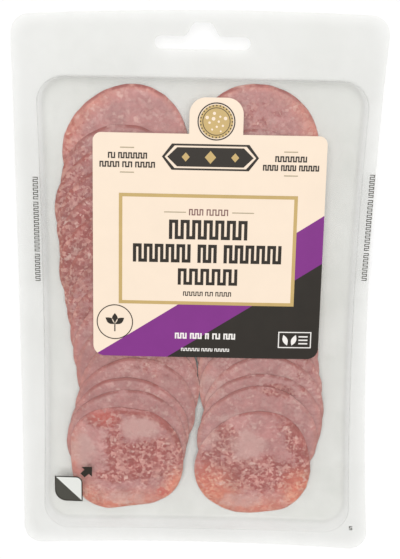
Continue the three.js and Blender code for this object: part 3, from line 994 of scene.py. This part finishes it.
def make_slice(side, index):
    node = slice_node(side, index)
    low, high = [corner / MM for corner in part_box(node)]
    depths, turns, shift, (facing, flat_depth) = slice_shape(side, index)
    centre = Vector(((low.x + high.x) / 2 + shift[0], (low.y + high.y) / 2 + shift[1], 0))
    radius = (high.y - low.y) / 2
    facing = math.radians(facing)
    sizes = {
        "Radius": radius * MM, "Thickness": SLICE_THICKNESS * MM, "Lobe Depths": tuple(depths),
        "Lobe Turns": tuple(math.radians(turn) for turn in turns), "Nicks": NICKS,
        "Seed": SIDE_SEED[side] + SEED_STEP * index, "Centre": centre * MM,
        "Lift": (LIFT + SLICE_LAYER * index) * MM, "Ramp": RAMPS[side], "Wave": WAVE_DEPTH * MM,
        "Flat Side": (math.cos(facing), math.sin(facing), 0), "Flat Depth": flat_depth * MM,
        "Meat": MEAT,
    }
    blank = bpy.data.objects.new(f"blank_{node}", bpy.data.meshes.new(f"blank_{node}"))
    scene.collection.objects.link(blank)
    modifier = blank.modifiers.new("slice", "NODES")
    modifier.node_group = SLICE_TREE
    for socket in SLICE_TREE.interface.items_tree:
        if socket.in_out == "INPUT":
            modifier[socket.identifier] = sizes[socket.name]
    ready = blank.evaluated_get(bpy.context.evaluated_depsgraph_get())
    mesh = bpy.data.meshes.new_from_object(ready)
    mesh.name = f"salami_{side}_{index + 1:02d}"
    piece = bpy.data.objects.new(mesh.name, mesh)
    scene.collection.objects.link(piece)
    bpy.data.objects.remove(blank)
    paint(piece, side, index, centre, radius)
    dress(piece, "salami", node)
    return piece


slices = [make_slice(side, index) for side in SIDES for index in range(SLICES_IN_COLUMN)]
for ramp in RAMPS.values():
    bpy.data.objects.remove(ramp)
print(len(slices), "slices of", len(slices[0].data.polygons), "faces")

# %% [markdown]
# ## The label and its print
# The label is paper stuck on the film. Its print could be one painted texture, but fields and
# marks cut as very thin sheets of ink stay sharp at any distance and keep one colour each.
# They are stacked in layers a few hundredths of a millimetre apart: fields, panel, marks.

# %% Label outline
LABEL_LOW, LABEL_HIGH = [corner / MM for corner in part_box("label")]
LABEL_THICKNESS = 0.16
LABEL_LIFT = 0.02
TAB_CENTRE_X = 6.2
TAB_HALF = 11.4
TAB_HEIGHT = 15.4
TAB_SHOULDER = 7
LABEL_TOP_RADIUS = 3.6
LABEL_BOTTOM_RADIUS = 5
INK_STEP = 0.025
INK_ROOT = 0.01


def label_outline():
    left, right_edge, bottom = LABEL_LOW.x, LABEL_HIGH.x, LABEL_LOW.y
    top = LABEL_HIGH.y - TAB_HEIGHT
    shoulder = LABEL_HIGH.y - TAB_SHOULDER
    inner = TAB_HALF - TAB_SHOULDER
    low_r, top_r = LABEL_BOTTOM_RADIUS, LABEL_TOP_RADIUS
    return [
        *arc(right_edge - low_r, bottom + low_r, low_r, -90, 0, CORNER_STEPS),
        *arc(right_edge - top_r, top - top_r, top_r, 0, 90, CORNER_STEPS),
        (TAB_CENTRE_X + TAB_HALF, top),
        *arc(TAB_CENTRE_X + inner, shoulder, TAB_SHOULDER, 0, 90, CORNER_STEPS),
        *arc(TAB_CENTRE_X - inner, shoulder, TAB_SHOULDER, 90, 180, CORNER_STEPS),
        (TAB_CENTRE_X - TAB_HALF, top),
        *arc(left + top_r, top - top_r, top_r, 90, 180, CORNER_STEPS),
        *arc(left + low_r, bottom + low_r, low_r, 180, 270, CORNER_STEPS),
    ]


LABEL_OUTLINE = label_outline()
print("label outline of", len(LABEL_OUTLINE), "points")

# %% Paper and ink materials
INK_LAY_SCALE = 0.12
INK_LAY_LIMITS = (0.35, 1.05)
PAPER_GLOSS = 0.25
GRAIN_SCALE = 3.0
GRAIN_SHARE = 0.4
GRAIN_STRENGTH = 0.15
GRAIN_DEPTH = 0.05
CREAM = (0.93, 0.775, 0.62)


def printed(name, colour, roughness, mottle):
    """Matt printed paper: a colour with a faint uneven lay of ink and a paper grain."""
    material, tree, shader, places = new_material(name, roughness)
    lay = noise(tree, places, INK_LAY_SCALE, 5.0)
    grain = noise(tree, places, GRAIN_SCALE, 2.0)
    strength = ranged(lay + grain * GRAIN_SHARE, *INK_LAY_LIMITS, 1 - mottle, 1 + mottle)
    tinted = flow(tree, "ShaderNodeHueSaturation", {"Color": (*colour, 1), "Value": strength})
    feed(shader, {"Base Color": tinted, "Specular IOR Level": PAPER_GLOSS,
                  "Normal": relief(grain, GRAIN_STRENGTH, GRAIN_DEPTH)})
    return material


PAPER = printed("cream_paper", CREAM, 0.5, 0.02)
# Each ink: colour, roughness and unevenness.
INK_LOOKS = {
    "purple": ((0.225, 0.030, 0.245), 0.42, 0.05),
    "black": ((0.026, 0.021, 0.016), 0.42, 0.12),
    "cream": (CREAM, 0.5, 0.02),
    "gold": ((0.58, 0.41, 0.16), 0.38, 0.07),
    "bronze": ((0.45, 0.38, 0.26), 0.38, 0.07),
    "dark": ((0.026, 0.020, 0.014), 0.45, 0.12),
    "mauve": ((0.22, 0.11, 0.10), 0.45, 0.08),
    "white": ((0.90, 0.87, 0.83), 0.45, 0.03),
    "grey": ((0.068, 0.066, 0.054), 0.45, 0.08),
    # pale is painted light: it lies under the peel sign's clear half.
    "pale": ((0.77, 0.78, 0.74), 0.45, 0.03),
}
INKS = {name: printed(f"{name}_ink", *look) for name, look in INK_LOOKS.items()}

# %% Label and the function that prints on it
def ink(name, outlines, layer, colour, base=LABEL_LIFT + LABEL_THICKNESS):
    """A thin sheet of ink on the label, or with base 0 on the film."""
    underside = above_film(base - INK_ROOT)
    piece = sheet(name, outlines, underside, above_film(base + INK_STEP * layer), INKS[colour])
    dress(piece, "label" if base else "film")


label = sheet("paper_label", [LABEL_OUTLINE], above_film(LABEL_LIFT),
              above_film(LABEL_LIFT + LABEL_THICKNESS), PAPER)
dress(label, "label", "label")

# %% Fields of colour
BAND_SLOPE = 0.655
BAND_UPPER_START = (-44.2, -27.4)
BAND_LOWER_START = (-12.9, -28.2)
PANEL = (-34.8, 41.8, -4.2, 45.0)
FRAME_LINE = 1.5


def box_outline(left, right_edge, bottom, top):
    return [(left, bottom), (right_edge, bottom), (right_edge, top), (left, top)]


def below(outline, start, slope):
    """The part of an outline under a sloping line."""
    kept = []
    for here, there in zip(outline, outline[1:] + outline[:1]):
        over_here, over_there = [y - start[1] - slope * (x - start[0]) for x, y in (here, there)]
        if over_here <= 0:
            kept.append(here)
        if over_here * over_there < 0:
            share = over_here / (over_here - over_there)
            kept.append(tuple(a + (b - a) * share for a, b in zip(here, there)))
    return kept


def grown(box, by):
    left, right_edge, bottom, top = box
    return (left - by, right_edge + by, bottom - by, top + by)


ink("label_purple_band", [below(LABEL_OUTLINE, BAND_UPPER_START, BAND_SLOPE)], 1, "purple")
ink("label_black_field", [below(LABEL_OUTLINE, BAND_LOWER_START, BAND_SLOPE)], 2, "black")
ink("label_panel", [box_outline(*PANEL)], 3, "cream")
ink("label_frame", [box_outline(*PANEL), box_outline(*grown(PANEL, -FRAME_LINE))], 4, "gold")

# %% Rows of running key pattern that stand in for words
WORD_SPACE = 1.4


def key_row(left, right_edge, bottom, top, stroke, gap, words=(1,)):
    """Square waves between two ends, in groups whose lengths are the given shares."""
    shapes = []
    space = gap + WORD_SPACE * stroke
    room = right_edge - left - space * (len(words) - 1)
    x = left
    for share in words:
        length = room * share / sum(words)
        bars = max(2, round((length + gap) / (stroke + gap)))
        pitch = (length - stroke) / (bars - 1)
        for i in range(bars):
            foot = x + pitch * i
            shapes.append(box_outline(foot, foot + stroke, bottom, top))
            if i + 1 < bars:
                level = top - stroke if i % 2 == 0 else bottom
                shapes.append(box_outline(foot + stroke, foot + pitch, level, level + stroke))
        x += length + space
    return shapes


# Each row: left, right, bottom, top, stroke, gap, and the shares of its groups.
ROWS = {
    "dark_rows": [
        (-13.2, 20.6, 25.2, 33.8, 1.45, 0.95),
        (-28.7, 35.6, 14.8, 23.0, 1.45, 0.95, (6, 2, 6)),
        (-9.1, 16.8, 4.8, 12.2, 1.35, 1.0),
        (-6.7, 14.3, -0.2, 1.8, 0.4, 0.5, (5, 2, 4)),
        (-39.5, -22.9, 59.9, 62.5, 0.55, 0.5, (1, 4)),
        (-43.1, -19.5, 56.1, 58.6, 0.55, 0.5, (4, 2, 4)),
        (31.5, 45.0, 59.6, 62.1, 0.55, 0.5),
        (26.4, 50.3, 55.8, 58.3, 0.55, 0.5, (3, 3, 4)),
    ],
    "mauve_row": [(-4.7, 12.1, 35.8, 38.6, 0.5, 0.7, (2, 3))],
    "white_rows": [
        (-10.0, 16.6, -19.9, -17.2, 0.65, 0.55, (3, 3, 1, 2, 3)),
        (-7.2, 14.1, -25.6, -24.2, 0.35, 0.4, (5, 3, 4)),
    ],
}
for name, rows in ROWS.items():
    shapes = [shape for row in rows for shape in key_row(*row)]
    ink(f"label_{name}", shapes, 5, name.split("_")[0])

# %% Thin gold rules
RULE_LINE = 0.45
RULES = [(-34.4, -28.4, 64.6), (-34.4, -28.4, 54.0), (35.2, 41.1, 63.9), (35.5, 41.4, 53.7),
         (-15.4, -6.0, 37.1), (13.8, 23.2, 37.2)]
rules = [box_outline(left, right_edge, y - RULE_LINE / 2, y + RULE_LINE / 2)
         for left, right_edge, y in RULES]
ink("label_rules", rules, 5, "bronze")

# %% [markdown]
# ## Ornaments
# The tab and the plaque carry plain ornaments: a round slice with fat dots, and a long
# lozenge with diamonds. The round stamp holds a sprig and the small box a pair of seeds. All
# of them are outlines from a few helpers, so their sizes are easy to change.

# %% Ornament outlines
def circle(x, y, radius, steps=48):
    return arc(x, y, radius, 0, 360 * (1 - 1 / steps), steps - 1)


def diamond(x, y, half_wide, half_high):
    return [(x - half_wide, y), (x, y - half_high), (x + half_wide, y), (x, y + half_high)]


def lozenge(x, y, half_wide, half_high, point):
    """A long bar whose two ends come to a point."""
    return [(x - half_wide, y), (x - half_wide + point, y - half_high),
            (x + half_wide - point, y - half_high), (x + half_wide, y),
            (x + half_wide - point, y + half_high), (x - half_wide + point, y + half_high)]


def leaf(x, y, length, width, turn, steps=12):
    """A leaf with two pointed ends, from its foot along a direction in degrees."""
    c, s = math.cos(math.radians(turn)), math.sin(math.radians(turn))
    shares = np.linspace(0, 1, steps + 1)
    bulge = width / 2 * np.sin(shares * math.pi)
    edge = list(zip(shares * length, -bulge)) + list(zip(shares[-2:0:-1] * length, bulge[-2:0:-1]))
    return [(x + a * c - b * s, y + a * s + b * c) for a, b in edge]

# %% Tab ornament
EMBLEM = (6.2, 76.2)
EMBLEM_RADIUS = 8.0
FACE_INSET = 0.9
RING_INSETS = (0, 0.5, 2.1, 2.4)
RIND_MARKS = 28
RIND_INSET = 1.3
RIND_MARK_RADIUS = 0.32
FAT_DOTS = 11
FAT_INSET = 3.4
FAT_RADII = (0.4, 0.8)
GOLDEN_TURN = math.radians(137.5)
dot_draw = np.random.default_rng(12)


def emblem_dot(reach, turn, radius, steps):
    """A dot at a distance and an angle from the emblem's centre."""
    x = EMBLEM[0] + reach * math.cos(turn)
    y = EMBLEM[1] + reach * math.sin(turn)
    return circle(x, y, radius, steps)


# The fat dots are spread evenly, like the seeds of a sunflower.
fat_dots = []
for i in range(FAT_DOTS):
    reach = (EMBLEM_RADIUS - FAT_INSET) * math.sqrt((i + 0.5) / FAT_DOTS)
    fat_dots.append(emblem_dot(reach, GOLDEN_TURN * i, dot_draw.uniform(*FAT_RADII), 16))
rings = [circle(*EMBLEM, EMBLEM_RADIUS - inset) for inset in RING_INSETS]
rings += [emblem_dot(EMBLEM_RADIUS - RIND_INSET, turn, RIND_MARK_RADIUS, 8)
          for turn in np.arange(RIND_MARKS) * 2 * math.pi / RIND_MARKS]
ink("label_emblem_face", [circle(*EMBLEM, EMBLEM_RADIUS - FACE_INSET)], 3, "gold")
ink("label_emblem_dots", fat_dots, 4, "cream")
ink("label_emblem_ring", rings, 4, "dark")

# %% Plaque
PLAQUE = (4.0, 61.0)
PLAQUE_HALF = (20.6, 5.6)
PLAQUE_POINT = 4.2
INLINE_INSETS = (0.8, 1.5)
DIAMOND_HEIGHT = 1.15
# Each diamond: shift from the plaque's centre, and half width.
DIAMONDS = [(-10.5, 1.7), (0, 2.4), (10.5, 1.7)]

inline = [lozenge(*PLAQUE, PLAQUE_HALF[0] - inset * 1.5, PLAQUE_HALF[1] - inset, PLAQUE_POINT)
          for inset in INLINE_INSETS]
diamonds = [diamond(PLAQUE[0] + shift, PLAQUE[1], half, half * DIAMOND_HEIGHT)
            for shift, half in DIAMONDS]
ink("label_plaque", [lozenge(*PLAQUE, *PLAQUE_HALF, PLAQUE_POINT)], 4, "dark")
ink("label_plaque_line", inline, 5, "cream")
ink("label_plaque_diamonds", diamonds, 5, "gold")

# %% Stamp and small box
STAMP = (-36.5, -12.8)
STAMP_RADIUS = 8.0
STAMP_LINE = 0.42
SPRIG_FOOT = STAMP[1] - 1.0
SPRIG_LEAF = (5.0, 2.6)
SPRIG_TURNS = (35, 90, 145)
STALK_HALF = 0.25
STALK_ENDS = (STAMP[1] - 4.4, STAMP[1] - 1.1)

stamp = [circle(*STAMP, STAMP_RADIUS), circle(*STAMP, STAMP_RADIUS - STAMP_LINE)]
stamp += [leaf(STAMP[0], SPRIG_FOOT, *SPRIG_LEAF, turn) for turn in SPRIG_TURNS]
stamp.append(box_outline(STAMP[0] - STALK_HALF, STAMP[0] + STALK_HALF, *STALK_ENDS))
ink("label_stamp", stamp, 4, "dark")

BADGE = (35.6, 50.2, -23.4, -15.9)
BADGE_LINE = 0.45
SEED_SIZE = (5.2, 2.2)
SEED_FOOT = -22.2
# Each seed: x of its foot, and the angle that it points at.
SEEDS = [(39.6, 110), (41.6, 70)]
BAR_ENDS = (44.6, 48.6)
BAR_FEET = (-21.6, -20.0, -18.4)
BAR_HEIGHT = 0.6

badge = [box_outline(*BADGE), box_outline(*grown(BADGE, -BADGE_LINE))]
badge += [leaf(x, SEED_FOOT, *SEED_SIZE, turn) for x, turn in SEEDS]
badge += [box_outline(*BAR_ENDS, y, y + BAR_HEIGHT) for y in BAR_FEET]
ink("label_badge", badge, 4, "white")

# %% [markdown]
# ## Prints on the film
# Two grey rows run along the margins, the lower left corner shows the usual peel sign, a square
# whose corner is folded away with an arrow, and the lower right corner a plain number. They are
# thin sheets of ink on the film itself, like those on the label, so they need no other tool.

# %% Margin rows
MARGIN_ROW_HALF = 1.1
MARGIN_STROKE = 0.36
MARGIN_GAP = 0.55
MARGIN_WORDS = (4, 9, 5)
# Each row: x at its top and its bottom, then y at its top and its bottom.
MARGIN_ROWS = [(-70.8, -70.3, 50.8, 4.6), (73.4, 72.3, 54.6, 7.6)]


def margin_row(x_top, x_bottom, y_top, y_bottom):
    """A row that runs down a margin, leaning from x_top to x_bottom."""
    lean = (x_bottom - x_top) / (y_top - y_bottom)
    shapes = key_row(0, y_top - y_bottom, -MARGIN_ROW_HALF, MARGIN_ROW_HALF, MARGIN_STROKE,
                     MARGIN_GAP, MARGIN_WORDS)
    return [[(x_top + b + lean * a, y_top - a) for a, b in shape] for shape in shapes]


margins = [shape for row in MARGIN_ROWS for shape in margin_row(*row)]
ink("film_margin_rows", margins, 1, "grey", base=0)

# %% Peel sign and arrow
PEEL = (-64.1, -51.4, -100.2, -87.8)
PEEL_LINE = 0.5
PEEL_SMALL_RADIUS = 3.0
PEEL_LARGE_RADIUS = 5.4
ARROW_TIP = (-46.9, -82.7)
ARROW_PROFILE = [(0, 0), (-3.6, 3.4), (-3.6, 1.4), (-6.3, 1.4), (-6.3, -1.4), (-3.6, -1.4),
                 (-3.6, -3.4)]


def peel_outline(inset):
    """A square with two sharp and two round corners."""
    left, right_edge, bottom, top = grown(PEEL, -inset)
    large, small = PEEL_LARGE_RADIUS - inset, PEEL_SMALL_RADIUS - inset
    return [
        *arc(left + large, bottom + large, large, 180, 270, CORNER_STEPS),
        (right_edge, bottom),
        *arc(right_edge - small, top - small, small, 0, 90, CORNER_STEPS),
        (left, top),
    ]


def arrow_outline():
    """A short arrow that points up and to the right."""
    c = math.sqrt(0.5)
    return [(ARROW_TIP[0] + c * (a - b), ARROW_TIP[1] + c * (a + b)) for a, b in ARROW_PROFILE]


fold_slope = (PEEL[2] - PEEL[3]) / (PEEL[1] - PEEL[0])
# Painted light: a pale sheet fills the sign's clear half, where the dark half's shadow would show
# through the film; the fold covers the rest.
ink("film_peel_sheet", [peel_outline(0)], 1, "pale", base=0)
ink("film_peel_fold", [below(peel_outline(0), (PEEL[0], PEEL[3]), fold_slope)], 2, "grey", base=0)
ink("film_peel_line", [peel_outline(0), peel_outline(PEEL_LINE)], 3, "dark", base=0)
ink("film_arrow", [arrow_outline()], 1, "dark", base=0)

# %% A small plain number in the lower right corner
NUMBER_CORNER = (71.97, -112.45)
NUMBER_FIVE = [(0, 0), (1.5, 0), (1.5, 1.15), (0.42, 1.15), (0.42, 1.62), (1.5, 1.62),
               (1.5, 1.95), (0, 1.95), (0, 0.82), (1.08, 0.82), (1.08, 0.33), (0, 0.33)]
number = [(NUMBER_CORNER[0] + x, NUMBER_CORNER[1] + y) for x, y in NUMBER_FIVE]
ink("film_number", [number], 1, "dark", base=0)
